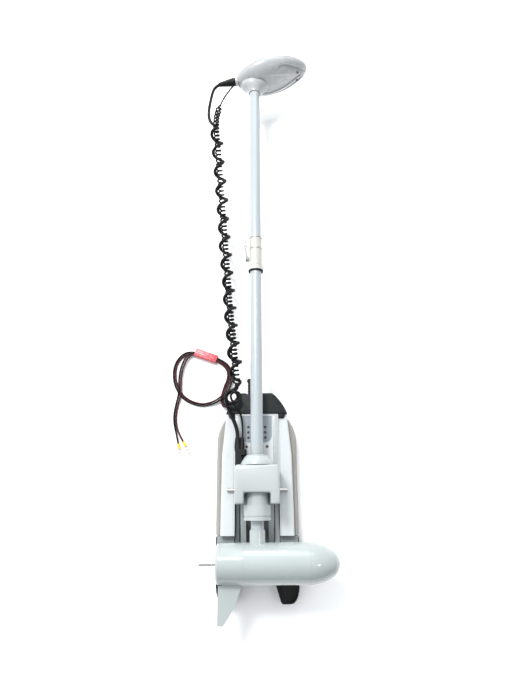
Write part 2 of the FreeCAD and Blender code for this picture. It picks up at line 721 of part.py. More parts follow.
def main():
    os.makedirs("parts", exist_ok=True)
    save("deck_plate", deck_plate())
    for side, shape in (("right", lambda s: s), ("left", mirrored)):
        save(side + "_bracket", shape(bracket()))
        save(side + "_rail", shape(rail()))
        save(side + "_skirt", shape(skirt()))
        save(side + "_ramp", shape(ramp()))
        save(side + "_arm", shape(swing_arm()))
    save("centre_cover", centre_cover())
    save("control_cover", control_cover())
    save("cover_screws", cover_screws())
    save("rear_cap", rear_cap())
    save("lead_grommet", lead_grommet())
    save("shaft_rest", shaft_rest())
    save("arm_axle", arm_axle())
    save("release_lever", release_lever())
    save("latch_stands", Part.makeCompound([lever_stand(), hook_stand()]))
    save("latch_hook", latch_hook())
    save("housing_shell", housing_shell())
    save("housing_cover", housing_cover())
    save("housing_collar", housing_collar())
    save("cross_pin", cyl_x(-PIN_HALF, PIN_HALF, PIN_R, PIN_Y, PIN_Z))
    save("sleeve_bushes", sleeve_bushes())
    save("steering_motor", steering_motor())
    save("steering_pinion", steering_pinion())
    save("cord_gland", cord_gland())
    save("drive_sleeve", drive_sleeve())
    save("composite_shaft", composite_shaft())
    save("neck_tube", neck_tube())
    save("motor_casing", motor_casing())
    save("rear_bell", rear_bell())
    save("nose_cone", nose_cone())
    save("skeg", skeg())
    save("motor_magnets", motor_magnets())
    save("motor_bearings", motor_bearings())
    save("prop_shaft", prop_shaft())
    save("armature", armature())
    save("head_lower_shell", head_half(False))
    save("head_upper_shell", head_half(True))
    save("head_boss", head_boss())
    save("head_board", head_board())
    save("head_screws", head_screws())
    save("strain_relief", strain_relief())
    save("collar_sleeve", collar_sleeve())
    save("collar_bumper", collar_bumper())
    save("collar_lever", collar_lever())
    save("head_cable", tube_on(CABLE_TOP, CABLE_D / 2, "head cable"))
    save("head_wire", tube_on(WIRE_TOP, WIRE_D / 2, "head wire"))
    save("curly_cord", tube_on(CURLY_START + COIL, CURLY_R, "curly cord"))
    save("wound_cable", tube_on(COIL, COIL_R, "wound cable").cut(tube_on(COIL, COIL_IN_R, "inside")))
    save("gland_cable", tube_on(CABLE_END, CABLE_D / 2, "gland cable"))
    save("gland_wire", tube_on(WIRE_END, WIRE_D / 2, "gland wire"))
    save("positive_lead", tube_on(lead_route(1), LEAD_D / 2, "positive lead"))
    save("negative_lead", tube_on(lead_route(-1), LEAD_D / 2, "negative lead"))
    save("lead_tag", lead_tag())
    save("terminal_sleeves", Part.makeCompound([terminal_sleeve(1), terminal_sleeve(-1)]))
    save("ring_terminals", Part.makeCompound([ring_terminal(1), ring_terminal(-1)]))


main()
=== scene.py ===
import bpy
import bmesh
import math
from mathutils import Matrix, Vector


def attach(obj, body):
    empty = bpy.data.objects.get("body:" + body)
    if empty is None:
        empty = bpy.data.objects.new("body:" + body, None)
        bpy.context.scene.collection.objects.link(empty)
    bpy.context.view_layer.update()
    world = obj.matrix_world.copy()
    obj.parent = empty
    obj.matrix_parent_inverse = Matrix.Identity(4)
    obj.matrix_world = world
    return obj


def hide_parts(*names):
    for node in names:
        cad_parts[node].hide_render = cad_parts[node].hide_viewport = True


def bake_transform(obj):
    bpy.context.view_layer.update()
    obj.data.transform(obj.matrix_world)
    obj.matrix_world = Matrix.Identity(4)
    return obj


# Looks of the bow-mount trolling motor. Metres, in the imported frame: Y to the head, Z up from the deck.

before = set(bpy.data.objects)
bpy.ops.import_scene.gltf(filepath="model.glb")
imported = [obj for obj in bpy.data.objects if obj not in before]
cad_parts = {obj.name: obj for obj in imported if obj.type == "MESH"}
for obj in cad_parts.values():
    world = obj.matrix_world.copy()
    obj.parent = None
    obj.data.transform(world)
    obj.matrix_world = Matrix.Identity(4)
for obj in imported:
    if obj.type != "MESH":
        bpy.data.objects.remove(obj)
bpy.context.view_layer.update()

CABLE_D = 0.009
WIRE_D = 0.005
LEAD_D = 0.005
PAIR_HALF = 0.0028
PAIR_SPREAD = 2.5
CABLE_COIL_R = 0.0142
CABLE_PITCH = 0.056
CURLY_COIL_R = 0.0073
CURLY_PITCH = 0.0118
COIL_STEPS = 14
CABLE_RAMP_IN = 0.02
CABLE_RAMP_OUT = 0.03
CABLE_TRIM = 2
CURLY_RAMP_IN = 0.022
CURLY_RAMP_OUT = 0.016
CURLY_TRIM = 3
SLACK_STEPS = 17
SLACK_START = 100
SLACK_SWEEP = 440
BAIL_D = 0.0016

# Routes of the cords, from the CAD model's. Between the coil and the END points the two head cords leave the
# model's line: each lies in a slack turn over the rear cap.
CABLE_TOP = [
    (-0.1033, 1.1019, 0.12), (-0.116, 1.096, 0.119), (-0.125, 1.078, 0.117), (-0.13, 1.052, 0.115),
    (-0.135, 1.022, 0.113), (-0.136, 0.994, 0.112), (-0.1295, 0.972, 0.111),
]
WIRE_TOP = [
    (-0.065, 1.0985, 0.117), (-0.077, 1.084, 0.113), (-0.09, 1.066, 0.11), (-0.1004, 1.044, 0.1072),
]
CURLY_START = [
    (-0.101, 1.042, 0.107), (-0.112, 1.004, 0.109),
]
COIL = [
    (-0.114, 0.962, 0.11), (-0.108, 0.9, 0.104), (-0.104, 0.83, 0.084), (-0.097, 0.745, 0.058),
    (-0.09, 0.65, 0.044), (-0.083, 0.56, 0.042), (-0.076, 0.47, 0.046), (-0.068, 0.385, 0.062),
    (-0.06, 0.31, 0.084), (-0.054, 0.24, 0.101), (-0.048, 0.178, 0.106),
]
CABLE_END = [
    (-0.066, 0.122, 0.099), (-0.056, 0.1, 0.0965), (-0.048, 0.078, 0.0955), (-0.047, 0.056, 0.097),
    (-0.046, 0.042, 0.1015), (-0.0455, 0.0316, 0.104),
]
WIRE_END = [
    (-0.039, 0.12, 0.097), (-0.035, 0.09, 0.094), (-0.035, 0.062, 0.095), (-0.036, 0.044, 0.101),
    (-0.036, 0.0316, 0.104),
]
LEAD = [
    (-0.076, 0.15, 0.017), (-0.089, 0.153, 0.0095), (-0.093, 0.172, 0.0032), (-0.086, 0.202, 0.0028),
    (-0.074, 0.23, 0.0028), (-0.076, 0.256, 0.0028), (-0.098, 0.2765, 0.0028), (-0.124, 0.2872, 0.0028),
    (-0.1624, 0.3009, 0.0028), (-0.196, 0.302, 0.0028), (-0.22, 0.274, 0.0028), (-0.224, 0.238, 0.0028),
    (-0.216, 0.204, 0.0028), (-0.192, 0.172, 0.0028), (-0.152, 0.156, 0.0028), (-0.122, 0.16, 0.0045),
    (-0.1, 0.17, 0.0104), (-0.082, 0.188, 0.01), (-0.07, 0.214, 0.009), (-0.066, 0.24, 0.009),
    (-0.078, 0.264, 0.009), (-0.098, 0.2775, 0.009), (-0.124, 0.2872, 0.009), (-0.1624, 0.3009, 0.009),
    (-0.186, 0.295, 0.0094), (-0.2, 0.268, 0.0094), (-0.206, 0.238, 0.0088), (-0.206, 0.208, 0.0094),
    (-0.206, 0.182, 0.0092), (-0.213, 0.158, 0.0044), (-0.217, 0.132, 0.0028), (-0.216, 0.108, 0.0028),
    (-0.209, 0.082, 0.0028), (-0.199, 0.058, 0.0028),
]

TAG_TURN = math.radians(-19.6)

ROOM_BRIGHT_WAY = (-0.55, 0.77, 0.33)
ROOM_LOW = 0.05
ROOM_HIGH = 1.7
ROOM_SEEN = 1.0
FLOOR_HALF = 6
FLOOR_Z = -0.0004

SHAFT_Z = 0.120
MOTOR_Y = -0.222
TAG_CENTRE = (-0.137, 0.2919)
HEAD_TILT = math.radians(12.4)
HEAD_CENTRE = (0.052, 1.136, 0.120)
HEAD_HALF = (0.109, 0.036, 0.065)
HEAD_CREST = 31
HEAD_STEP = 0.0042
HEAD_SCOOP = 0.0055
FLARE_SQUEEZE = 0.25
RAMP_FALL = 0.020

CAMERA_PLACE = (-0.0005, -0.080, 1.365)
CAMERA_TILT = math.radians(16.9)
CAMERA_ROLL = math.radians(0.36)
CAMERA_LENS = 27.04


# ------------------------------------------------------------------ materials

def new_material(name):
    mat = bpy.data.materials.new(name)
    mat.use_nodes = True
    return mat, mat.node_tree, mat.node_tree.nodes["Principled BSDF"]


def noise(tree, scale, detail=4.0, stretch=(1, 1, 1)):
    """Object-space noise, stretched along the axes given small numbers."""
    place = tree.nodes.new("ShaderNodeTexCoord")
    mapping = tree.nodes.new("ShaderNodeMapping")
    mapping.inputs["Scale"].default_value = stretch
    texture = tree.nodes.new("ShaderNodeTexNoise")
    texture.inputs["Scale"].default_value = scale
    texture.inputs["Detail"].default_value = detail
    tree.links.new(place.outputs["Object"], mapping.inputs["Vector"])
    tree.links.new(mapping.outputs["Vector"], texture.inputs["Vector"])
    return texture


def ramp(tree, source, low, high, start=0.35, end=0.65):
    node = tree.nodes.new("ShaderNodeValToRGB")
    node.color_ramp.elements[0].position = start
    node.color_ramp.elements[1].position = end
    node.color_ramp.elements[0].color = (*low, 1)
    node.color_ramp.elements[1].color = (*high, 1)
    tree.links.new(source, node.inputs["Fac"])
    return node


def spread(value, amount):
    return tuple(min(1, c * amount) for c in value)


def finish_material(name, colour, roughness, mottle=0.04, grain=900, bump=0.05, metallic=0.0, coat=0.0,
                    rough_spread=0.08, stretch=(1, 1, 1), specular=0.5):
    """A shader with faint colour variation, uneven roughness and a fine surface grain."""
    mat, tree, shader = new_material(name)
    wide = noise(tree, 9, 5, stretch)
    dark = spread(colour, 1 - mottle)
    pale = spread(colour, 1 + mottle * 0.4)
    colour_ramp = ramp(tree, wide.outputs["Fac"], dark, pale)
    tree.links.new(colour_ramp.outputs["Color"], shader.inputs["Base Color"])
    smudge = noise(tree, 35, 6, stretch)
    low = (roughness - rough_spread / 2,) * 3
    high = (roughness + rough_spread,) * 3
    rough = ramp(tree, smudge.outputs["Fac"], low, high)
    tree.links.new(rough.outputs["Color"], shader.inputs["Roughness"])
    fine = noise(tree, grain, 3, stretch)
    height = tree.nodes.new("ShaderNodeBump")
    height.inputs["Strength"].default_value = bump
    height.inputs["Distance"].default_value = 0.0004
    tree.links.new(fine.outputs["Fac"], height.inputs["Height"])
    tree.links.new(height.outputs["Normal"], shader.inputs["Normal"])
    shader.inputs["Metallic"].default_value = metallic
    shader.inputs["Specular IOR Level"].default_value = specular
    shader.inputs["Coat Weight"].default_value = coat
    shader.inputs["Coat Roughness"].default_value = 0.08
    return mat


def label_material():
    """Red vinyl with rows of short pale dashes along it."""
    mat, tree, shader = new_material("label_red")
    place = tree.nodes.new("ShaderNodeTexCoord")
    turn = tree.nodes.new("ShaderNodeMapping")
    turn.inputs["Rotation"].default_value = (0, 0, -TAG_TURN)
    tree.links.new(place.outputs["Object"], turn.inputs["Vector"])
    rows = tree.nodes.new("ShaderNodeTexWave")
    rows.bands_direction = "Y"
    rows.inputs["Scale"].default_value = 60
    dashes = tree.nodes.new("ShaderNodeTexNoise")
    dashes.inputs["Scale"].default_value = 190
    tree.links.new(turn.outputs["Vector"], rows.inputs["Vector"])
    tree.links.new(turn.outputs["Vector"], dashes.inputs["Vector"])
    both = tree.nodes.new("ShaderNodeMath")
    both.operation = "MULTIPLY"
    tree.links.new(rows.outputs["Fac"], both.inputs[0])
    tree.links.new(dashes.outputs["Fac"], both.inputs[1])
    colour = ramp(tree, both.outputs[0], (0.52, 0.055, 0.075), (0.62, 0.36, 0.37), 0.47, 0.50)
    tree.links.new(colour.outputs["Color"], shader.inputs["Base Color"])
    shader.inputs["Roughness"].default_value = 0.38
    return mat


WHITE = finish_material("white_gloss_plastic", (0.375, 0.405, 0.41), 0.3, 0.025, 1400, 0.04, coat=0.25)
RAIL_WHITE = finish_material("rail_gloss_plastic", (0.53, 0.56, 0.575), 0.3, 0.025, 1400, 0.04, coat=0.25)
HEAD_WHITE = finish_material("head_gloss_plastic", (0.38, 0.395, 0.41), 0.24, 0.03, 1400, 0.03, coat=0.5)
PAINT = finish_material("white_gloss_paint", (0.35, 0.39, 0.39), 0.2, 0.02, 700, 0.05, coat=0.7)
SHAFT = finish_material("shaft_composite", (0.34, 0.38, 0.40), 0.26, 0.03, 900, 0.05, coat=0.3,
                        stretch=(1, 0.08, 1))
COLLAR = finish_material("collar_plastic", (0.45, 0.45, 0.42), 0.35, 0.04, 1200, 0.05)
SKIRT = finish_material("skirt_taupe_plastic", (0.235, 0.23, 0.21), 0.5, 0.07, 1600, 0.25)
PLATE = finish_material("plate_grey_plastic", (0.234, 0.269, 0.296), 0.38, 0.06, 1500, 0.12)
CAP = finish_material("cap_charcoal_plastic", (0.010, 0.013, 0.014), 0.42, 0.15, 1100, 0.35, specular=0.2)
BLACK = finish_material("black_moulded_plastic", (0.007, 0.008, 0.009), 0.45, 0.12, 1300, 0.3, specular=0.2)
RUBBER = finish_material("black_rubber", (0.004, 0.004, 0.005), 0.5, 0.2, 1800, 0.35, specular=0.2)
LEAD_BLACK = finish_material("lead_black_vinyl", (0.005, 0.0045, 0.005), 0.36, 0.2, 1500, 0.15,
                             specular=0.2)
LEAD_RED = finish_material("lead_maroon_vinyl", (0.055, 0.008, 0.012), 0.36, 0.2, 1500, 0.15, specular=0.2)
ALLOY = finish_material("white_coated_alloy", (0.437, 0.452, 0.452), 0.42, 0.04, 1000, 0.15)
# Painted shade: the left bracket is the same white-coated alloy as the right one, painted dark grey where
# the left rail's shadow falls on it.
BRACKET_PAINTED_SHADE = finish_material("bracket_painted_shade", (0.09, 0.11, 0.11), 0.5, 0.06, 1000, 0.15)
STEEL = finish_material("brushed_steel", (0.50, 0.49, 0.47), 0.32, 0.1, 500, 0.25, metallic=1.0,
                        stretch=(0.06, 1, 1))
IRON = finish_material("dark_iron", (0.13, 0.12, 0.11), 0.55, 0.2, 500, 0.3, metallic=0.8)
COPPER = finish_material("bearing_bronze", (0.50, 0.33, 0.17), 0.35, 0.1, 600, 0.2, metallic=1.0)
BOARD = finish_material("circuit_board", (0.02, 0.15, 0.06), 0.4, 0.2, 300, 0.2)
YELLOW = finish_material("yellow_vinyl", (0.72, 0.50, 0.05), 0.4, 0.1, 900, 0.1)
BLACK_GLOSS = finish_material("black_gloss_plastic", (0.005, 0.006, 0.006), 0.2, 0.1, 900, 0.06,
                              specular=0.2)
SHOE = finish_material("shoe_grey_plastic", (0.24, 0.27, 0.275), 0.4, 0.06, 1400, 0.12)
SEAM = finish_material("seam_shadow", (0.30, 0.32, 0.32), 0.7, 0.1, 900, 0.1)
LABEL = label_material()

NODE_MATERIALS = {
    RAIL_WHITE: ["left_rail", "right_rail", "centre_cover"],
    WHITE: ["housing_shell", "housing_cover", "housing_collar", "drive_sleeve"],
    HEAD_WHITE: ["head_lower_shell", "head_upper_shell", "head_boss"],
    PAINT: ["motor_casing", "rear_bell", "nose_cone", "skeg", "neck_tube", "left_arm", "right_arm"],
    SHAFT: ["composite_shaft"],
    COLLAR: ["collar_sleeve"],
    SKIRT: ["left_skirt", "right_skirt"],
    PLATE: ["control_cover", "collar_lever"],
    CAP: ["rear_cap"],
    BLACK: ["left_ramp", "right_ramp", "release_lever", "cord_gland", "strain_relief"],
    RUBBER: ["lead_grommet", "shaft_rest", "collar_bumper", "head_cable", "head_wire", "curly_cord",
             "wound_cable", "gland_cable", "gland_wire", "positive_lead", "negative_lead"],
    ALLOY: ["deck_plate", "right_bracket"],
    # The left bracket takes the painted shade; the right one keeps its own alloy colour.
    BRACKET_PAINTED_SHADE: ["left_bracket"],
    STEEL: ["arm_axle", "cross_pin", "prop_shaft", "cover_screws", "head_screws", "latch_stands",
            "latch_hook", "steering_motor", "steering_pinion", "motor_bearings", "ring_terminals"],
    IRON: ["motor_magnets", "armature"],
    COPPER: ["sleeve_bushes"],
    BOARD: ["head_board"],
    YELLOW: ["terminal_sleeves"],
    LABEL: ["lead_tag"],
}


def dress_frame():
    """Every CAD node gets its finished material."""
    for material, names in NODE_MATERIALS.items():
        for name in names:
            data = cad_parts[name].data
            data.materials.clear()
            data.materials.append(material)


# ------------------------------------------------------------------ mesh helpers

def add_object(name, data, material):
    obj = bpy.data.objects.new(name, data)
    bpy.context.scene.collection.objects.link(obj)
    if material:
        data.materials.append(material)
    return obj


def smooth(obj, angle=40):
    obj.data.shade_smooth()
    obj.data.set_sharp_from_angle(angle=math.radians(angle))
    return obj


def nurbs_curve(name, points, radius=0.0, sides=3):
    """One open smooth spline of order 3 through the space of its control points."""
    curve = bpy.data.curves.new(name, "CURVE")
    curve.dimensions = "3D"
    spline = curve.splines.new("NURBS")
    spline.points.add(len(points) - 1)
    for point, place in zip(spline.points, points):
        point.co = (*place, 1)
    spline.order_u = 3
    spline.use_endpoint_u = True
    curve.resolution_u = 4
    curve.bevel_depth = radius
    curve.bevel_resolution = sides
    curve.use_fill_caps = True
    return curve


def as_mesh(name, curve):
    """The mesh of a curve, made in a throwaway object."""
    holder = bpy.data.objects.new(name + "_line", curve)
    bpy.context.scene.collection.objects.link(holder)
    bpy.context.view_layer.update()
    shape = holder.evaluated_get(bpy.context.evaluated_depsgraph_get())
    mesh = bpy.data.meshes.new_from_object(shape)
    bpy.data.objects.remove(holder)
    return mesh


def line_points(name, points):
    mesh = as_mesh(name, nurbs_curve(name, points))
    return [v.co.copy() for v in mesh.vertices]


def path_length(points):
    return sum((b - a).length for a, b in zip(points, points[1:]))


def evenly(points, step):
    """Places along a line, one each step, with the way that the line points there."""
    places = []
    left = 0.0
    for a, b in zip(points, points[1:]):
        run = (b - a).length
        while left < run:
            places.append((a.lerp(b, left / run), (b - a).normalized()))
            left += step
        left -= run
    return places


def coil_points(centre, radius, pitch, phase, ramp_in, ramp_out):
    """A helix round a centre line. Its radius grows from nothing at each end over the ramp lengths."""
    total = path_length(centre)
    out = []
    walked = 0.0
    step = pitch / COIL_STEPS
    for place, along in evenly(centre, step):
        side = along.cross(Vector((0, 0, 1))).normalized()
        over = side.cross(along).normalized()
        grow = min(1, walked / ramp_in, (total - walked) / ramp_out)
        turn = phase - 2 * math.pi * walked / pitch
        uneven = 1 + 0.05 * math.sin(walked * 90) + 0.03 * math.sin(walked * 37)
        reach = radius * uneven * max(0, grow)
        out.append(place + (side * math.cos(turn) + over * math.sin(turn)) * reach)
        walked += step
    return out


def cord_tube(name, points, diameter, material):
    mesh = as_mesh(name, nurbs_curve(name, points, diameter / 2, 2))
    obj = add_object(name, mesh, material)
    obj.data.shade_smooth()
    return obj, line_points(name, points)


# ------------------------------------------------------------------ cords

def hanging_loop(centre, radius, low, high):
    """A turn and a bit of slack cord, lying over the rear cap."""
    out = []
    for k in range(SLACK_STEPS + 1):
        turn = math.radians(SLACK_START + SLACK_SWEEP * k / SLACK_STEPS)
        out.append((centre[0] + radius * math.cos(turn), centre[1] + radius * math.sin(turn),
                    low + (high - low) * k / SLACK_STEPS))
    return out


def head_cords():
    """The thick cable wound loosely round the thin curly one, from the head's tail to the gland."""
    centre = line_points("coil", COIL)
    curly_centre = line_points("curly", CURLY_START + COIL)
    turns = coil_points(centre, CABLE_COIL_R, CABLE_PITCH, math.pi, CABLE_RAMP_IN, CABLE_RAMP_OUT)
    cable = CABLE_TOP + turns[:-CABLE_TRIM] + [(-0.0515, 0.1815, 0.1055)]
    cable += hanging_loop((-0.061, 0.158), 0.0155, 0.101, 0.115) + [(-0.0735, 0.138, 0.106)] + CABLE_END
    turns = coil_points(curly_centre, CURLY_COIL_R, CURLY_PITCH, 0, CURLY_RAMP_IN, CURLY_RAMP_OUT)
    wire = WIRE_TOP + turns[:-CURLY_TRIM]
    wire += hanging_loop((-0.051, 0.156), 0.0125, 0.122, 0.129) + [(-0.057, 0.138, 0.117)] + WIRE_END
    for name, points, diameter, nodes, start in (
        ("sonar_cable", cable, CABLE_D, ("head_cable", "wound_cable", "gland_cable"), CABLE_TOP[0]),
        ("control_cord", wire, WIRE_D, ("head_wire", "curly_cord", "gland_wire"), WIRE_TOP[0]),
    ):
        obj, path = cord_tube(name, points, diameter, RUBBER)
        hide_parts(*nodes)
        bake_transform(obj)
        print(name, "length", round(path_length(path), 3))


def lead_route(side):
    last = len(LEAD) - 1
    out = []
    for k, place in enumerate(LEAD):
        ahead = Vector(LEAD[min(k + 1, last)])
        behind = Vector(LEAD[max(k - 1, 0)])
        along = ahead - behind
        along.z = 0
        along.normalize()
        gap = side * PAIR_HALF * (PAIR_SPREAD if k == last else 1)
        out.append(Vector(place) + Vector((-along.y, along.x, 0)) * gap)
    return out


def power_leads(wrap):
    for side, node, material in ((1, "positive_lead", LEAD_RED), (-1, "negative_lead", LEAD_BLACK)):
        points = lead_route(side)
        curve = nurbs_curve(node + "_wire", points, LEAD_D / 2, 4)
        curve.resolution_u = 10
        obj = add_object(node + "_wire", curve, material)
        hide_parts(node)
        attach(obj, "mount_base")
        length = path_length(line_points(node, points))
        print(node, "length", round(length, 3))


# ------------------------------------------------------------------ stage

def floor():
    mesh = bpy.data.meshes.new("floor")
    corners = [(x * FLOOR_HALF, y * FLOOR_HALF, FLOOR_Z) for x, y in ((-1, -1), (1, -1), (1, 1), (-1, 1))]
    mesh.from_pydata(corners, [], [(0, 1, 2, 3)])
    mat = finish_material("pale_floor", (0.97, 0.97, 0.97), 0.9, 0.01, 60, 0.02)
    add_object("floor", mesh, mat)


def area_light(name, place, target, size, power, colour=(1, 1, 1), height=None):
    """A soft lamp: a disc, or a panel if a height is given."""
    light = bpy.data.lights.new(name, "AREA")
    light.shape = "RECTANGLE" if height else "DISK"
    light.size = size
    if height:
        light.size_y = height
    light.energy = power
    light.color = colour
    obj = bpy.data.objects.new(name, light)
    bpy.context.scene.collection.objects.link(obj)
    obj.location = place
    obj.rotation_euler = (Vector(target) - Vector(place)).to_track_quat("-Z", "Y").to_euler()


def lights():
    """A room brighter on one side, seen as plain and pale by the camera, and four soft lamps."""
    world = bpy.data.worlds.new("studio")
    world.use_nodes = True
    background = world.node_tree.nodes["Background"]
    background.inputs["Color"].default_value = (0.95, 0.975, 1, 1)
    tree = world.node_tree
    place = tree.nodes.new("ShaderNodeTexCoord")
    toward = tree.nodes.new("ShaderNodeVectorMath")
    toward.operation = "DOT_PRODUCT"
    toward.inputs[1].default_value = ROOM_BRIGHT_WAY
    level = tree.nodes.new("ShaderNodeMapRange")
    level.inputs["From Min"].default_value = -0.8
    level.inputs["From Max"].default_value = 0.8
    level.inputs["To Min"].default_value = ROOM_LOW
    level.inputs["To Max"].default_value = ROOM_HIGH
    tree.links.new(place.outputs["Generated"], toward.inputs[0])
    tree.links.new(toward.outputs["Value"], level.inputs["Value"])
    sight = tree.nodes.new("ShaderNodeLightPath")
    seen = tree.nodes.new("ShaderNodeMix")
    seen.inputs["B"].default_value = ROOM_SEEN
    tree.links.new(sight.outputs["Is Camera Ray"], seen.inputs["Factor"])
    tree.links.new(level.outputs["Result"], seen.inputs["A"])
    tree.links.new(seen.outputs["Result"], background.inputs["Strength"])
    bpy.context.scene.world = world
    area_light("key", (-0.85, 1.5, 2.6), (0, 0.3, 0.05), 0.8, 74, (1, 0.985, 0.96))
    area_light("back", (0.3, 2.6, 1.9), (0, 0.7, 0.1), 1.4, 10)
    area_light("window", (0.03, 2.3, 1.0), (0, MOTOR_Y, SHAFT_Z), 0.26, 5, (1, 1, 1), 0.07)
    area_light("panel", (1.25, -0.42, 2.2), (0.13, MOTOR_Y, SHAFT_Z), 0.16, 3, (1, 1, 1), 0.2)
    bpy.context.scene.view_settings.view_transform = "Standard"


def camera():
    data = bpy.data.cameras.new("camera")
    data.lens = CAMERA_LENS
    data.sensor_width = 36
    obj = bpy.data.objects.new("camera", data)
    bpy.context.scene.collection.objects.link(obj)
    look = Vector((0, math.sin(CAMERA_TILT), -math.cos(CAMERA_TILT)))
    up = Vector((math.sin(CAMERA_ROLL), math.cos(CAMERA_TILT), math.sin(CAMERA_TILT))).normalized()
    right = look.cross(up).normalized()
    up = right.cross(look)
    turn = Matrix((right, up, -look)).transposed()
    obj.matrix_world = Matrix.Translation(CAMERA_PLACE) @ turn.to_4x4()
    bpy.context.scene.camera = obj


# ------------------------------------------------------------------ shapes for the pieces

def prism(name, outline, z0, z1, soft, material, tilt=None):
    """An outline drawn up from z0 to z1, with every sharp edge rounded by soft."""
    work = bmesh.new()
    low = [work.verts.new((x, y, z0)) for x, y in outline]
    high = [work.verts.new((x, y, tilt(x, y) if tilt else z1)) for x, y in outline]
    count = len(outline)
    work.faces.new(list(reversed(low)))
    work.faces.new(high)
    for k in range(count):
        other = (k + 1) % count
        work.faces.new((low[k], low[other], high[other], high[k]))
    bmesh.ops.recalc_face_normals(work, faces=work.faces)
    sharp = [e for e in work.edges if len(e.link_faces) == 2 and e.calc_face_angle() > math.radians(25)]
    bmesh.ops.bevel(work, geom=sharp, offset=soft, segments=3, profile=0.5, affect="EDGES",
                    clamp_overlap=True)
    mesh = bpy.data.meshes.new(name)
    work.to_mesh(mesh)
    work.free()
    return smooth(add_object(name, mesh, material), 50)


def lathe(name, profile, origin, axis, material, steps=72, angle=40):
    """A profile of (distance along the axis, radius) turned all round."""
    axis = Vector(axis).normalized()
    side = axis.orthogonal().normalized()
    over = axis.cross(side)
    verts = []
    for along, radius in profile:
        for k in range(steps):
            turn = 2 * math.pi * k / steps
            out = side * math.cos(turn) + over * math.sin(turn)
            verts.append(Vector(origin) + axis * along + out * radius)
    faces = []
    for row in range(len(profile) - 1):
        for k in range(steps):
            other = (k + 1) % steps
            a, b = row * steps, (row + 1) * steps
            faces.append((a + k, a + other, b + other, b + k))
    mesh = bpy.data.meshes.new(name)
    mesh.from_pydata(verts, [], faces)
    return smooth(add_object(name, mesh, material), angle)


def arc_outline(points, steps=10):
    """Points joined by straight lines, with an arc through any three written as a nested list."""
    out = []
    for item in points:
        if isinstance(item[0], (int, float)):
            out.append(item)
            continue
        (x0, y0), (x1, y1), (x2, y2) = item
        for k in range(steps + 1):
            t = k / steps
            out.append(((1 - t) ** 2 * x0 + 2 * t * (1 - t) * x1 + t * t * x2,
                        (1 - t) ** 2 * y0 + 2 * t * (1 - t) * y1 + t * t * y2))
    return out


def own(obj, body, slot, *nodes):
    if nodes:
        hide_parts(*nodes)
    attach(obj, body)
    return obj


# ------------------------------------------------------------------ control head

def ease(value, start, end):
    t = min(1, max(0, (value - start) / (end - start)))
    return t * t * (3 - 2 * t)


def head_place(x, y, z):
    c, s = math.cos(HEAD_TILT), math.sin(HEAD_TILT)
    return Vector(HEAD_CENTRE) + Vector((x * c - y * s, x * s + y * c, z))


def head_dent(a, low):
    """How far the shell steps in at share a of its length and at an angle from its underside."""
    crest = HEAD_CREST * (1 - ((a + 0.3) / 1.15) ** 2)
    under = (1 - ease(low, crest - 4, crest + 2)) * HEAD_STEP
    brow = crest + 6 + 26 * ease(a, -0.15, 0.3) - 14 * ease(a, 0.6, 1.0)
    share = min(1, max(0, (low - crest) / max(1, brow - crest)))
    scoop = HEAD_SCOOP * share ** 1.4 * (1 - ease(low, brow - 1, brow + 7)) * ease(a, -0.12, 0.25)
    return under + scoop * (1 - ease(a, 0.75, 0.96))


def head_shell(name, upper, material):
    rings, turns = 150, 220
    verts = []
    for k in range(rings + 1):
        theta = math.pi * k / rings
        a, r = -math.cos(theta), math.sin(theta)
        for j in range(turns + 1):
            low = (90 if upper else -90) + 180 * j / turns
            turn = math.radians(low)
            dent = head_dent(a, abs(low)) * min(1, r * 2.2) if not upper else 0
            belly = math.exp(-((a + 0.3) / 0.35) ** 2)
            thin = 1 if upper else 1 + 0.14 * belly - 0.20 * ease(a, 0.1, 0.75)
            y = -r * math.cos(turn) * HEAD_HALF[1] * thin
            z = r * math.sin(turn) * HEAD_HALF[2] * (1 + 0.06 * belly - 0.10 * ease(a, 0.3, 0.9))
            out = Vector((0, y / HEAD_HALF[1] ** 2, z / HEAD_HALF[2] ** 2))
            if out.length:
                out.normalize()
            place = Vector((a * HEAD_HALF[0], y, z)) - out * dent
            place.y += (0.0003 if upper else -0.0003)
            verts.append(head_place(*place))
    faces = []
    for k in range(rings):
        for j in range(turns):
            a = k * (turns + 1) + j
            b = a + turns + 1
            faces.append((a, b, b + 1, a + 1))
    mesh = bpy.data.meshes.new(name)
    mesh.from_pydata(verts, [], faces)
    return smooth(add_object(name, mesh, material), 60)


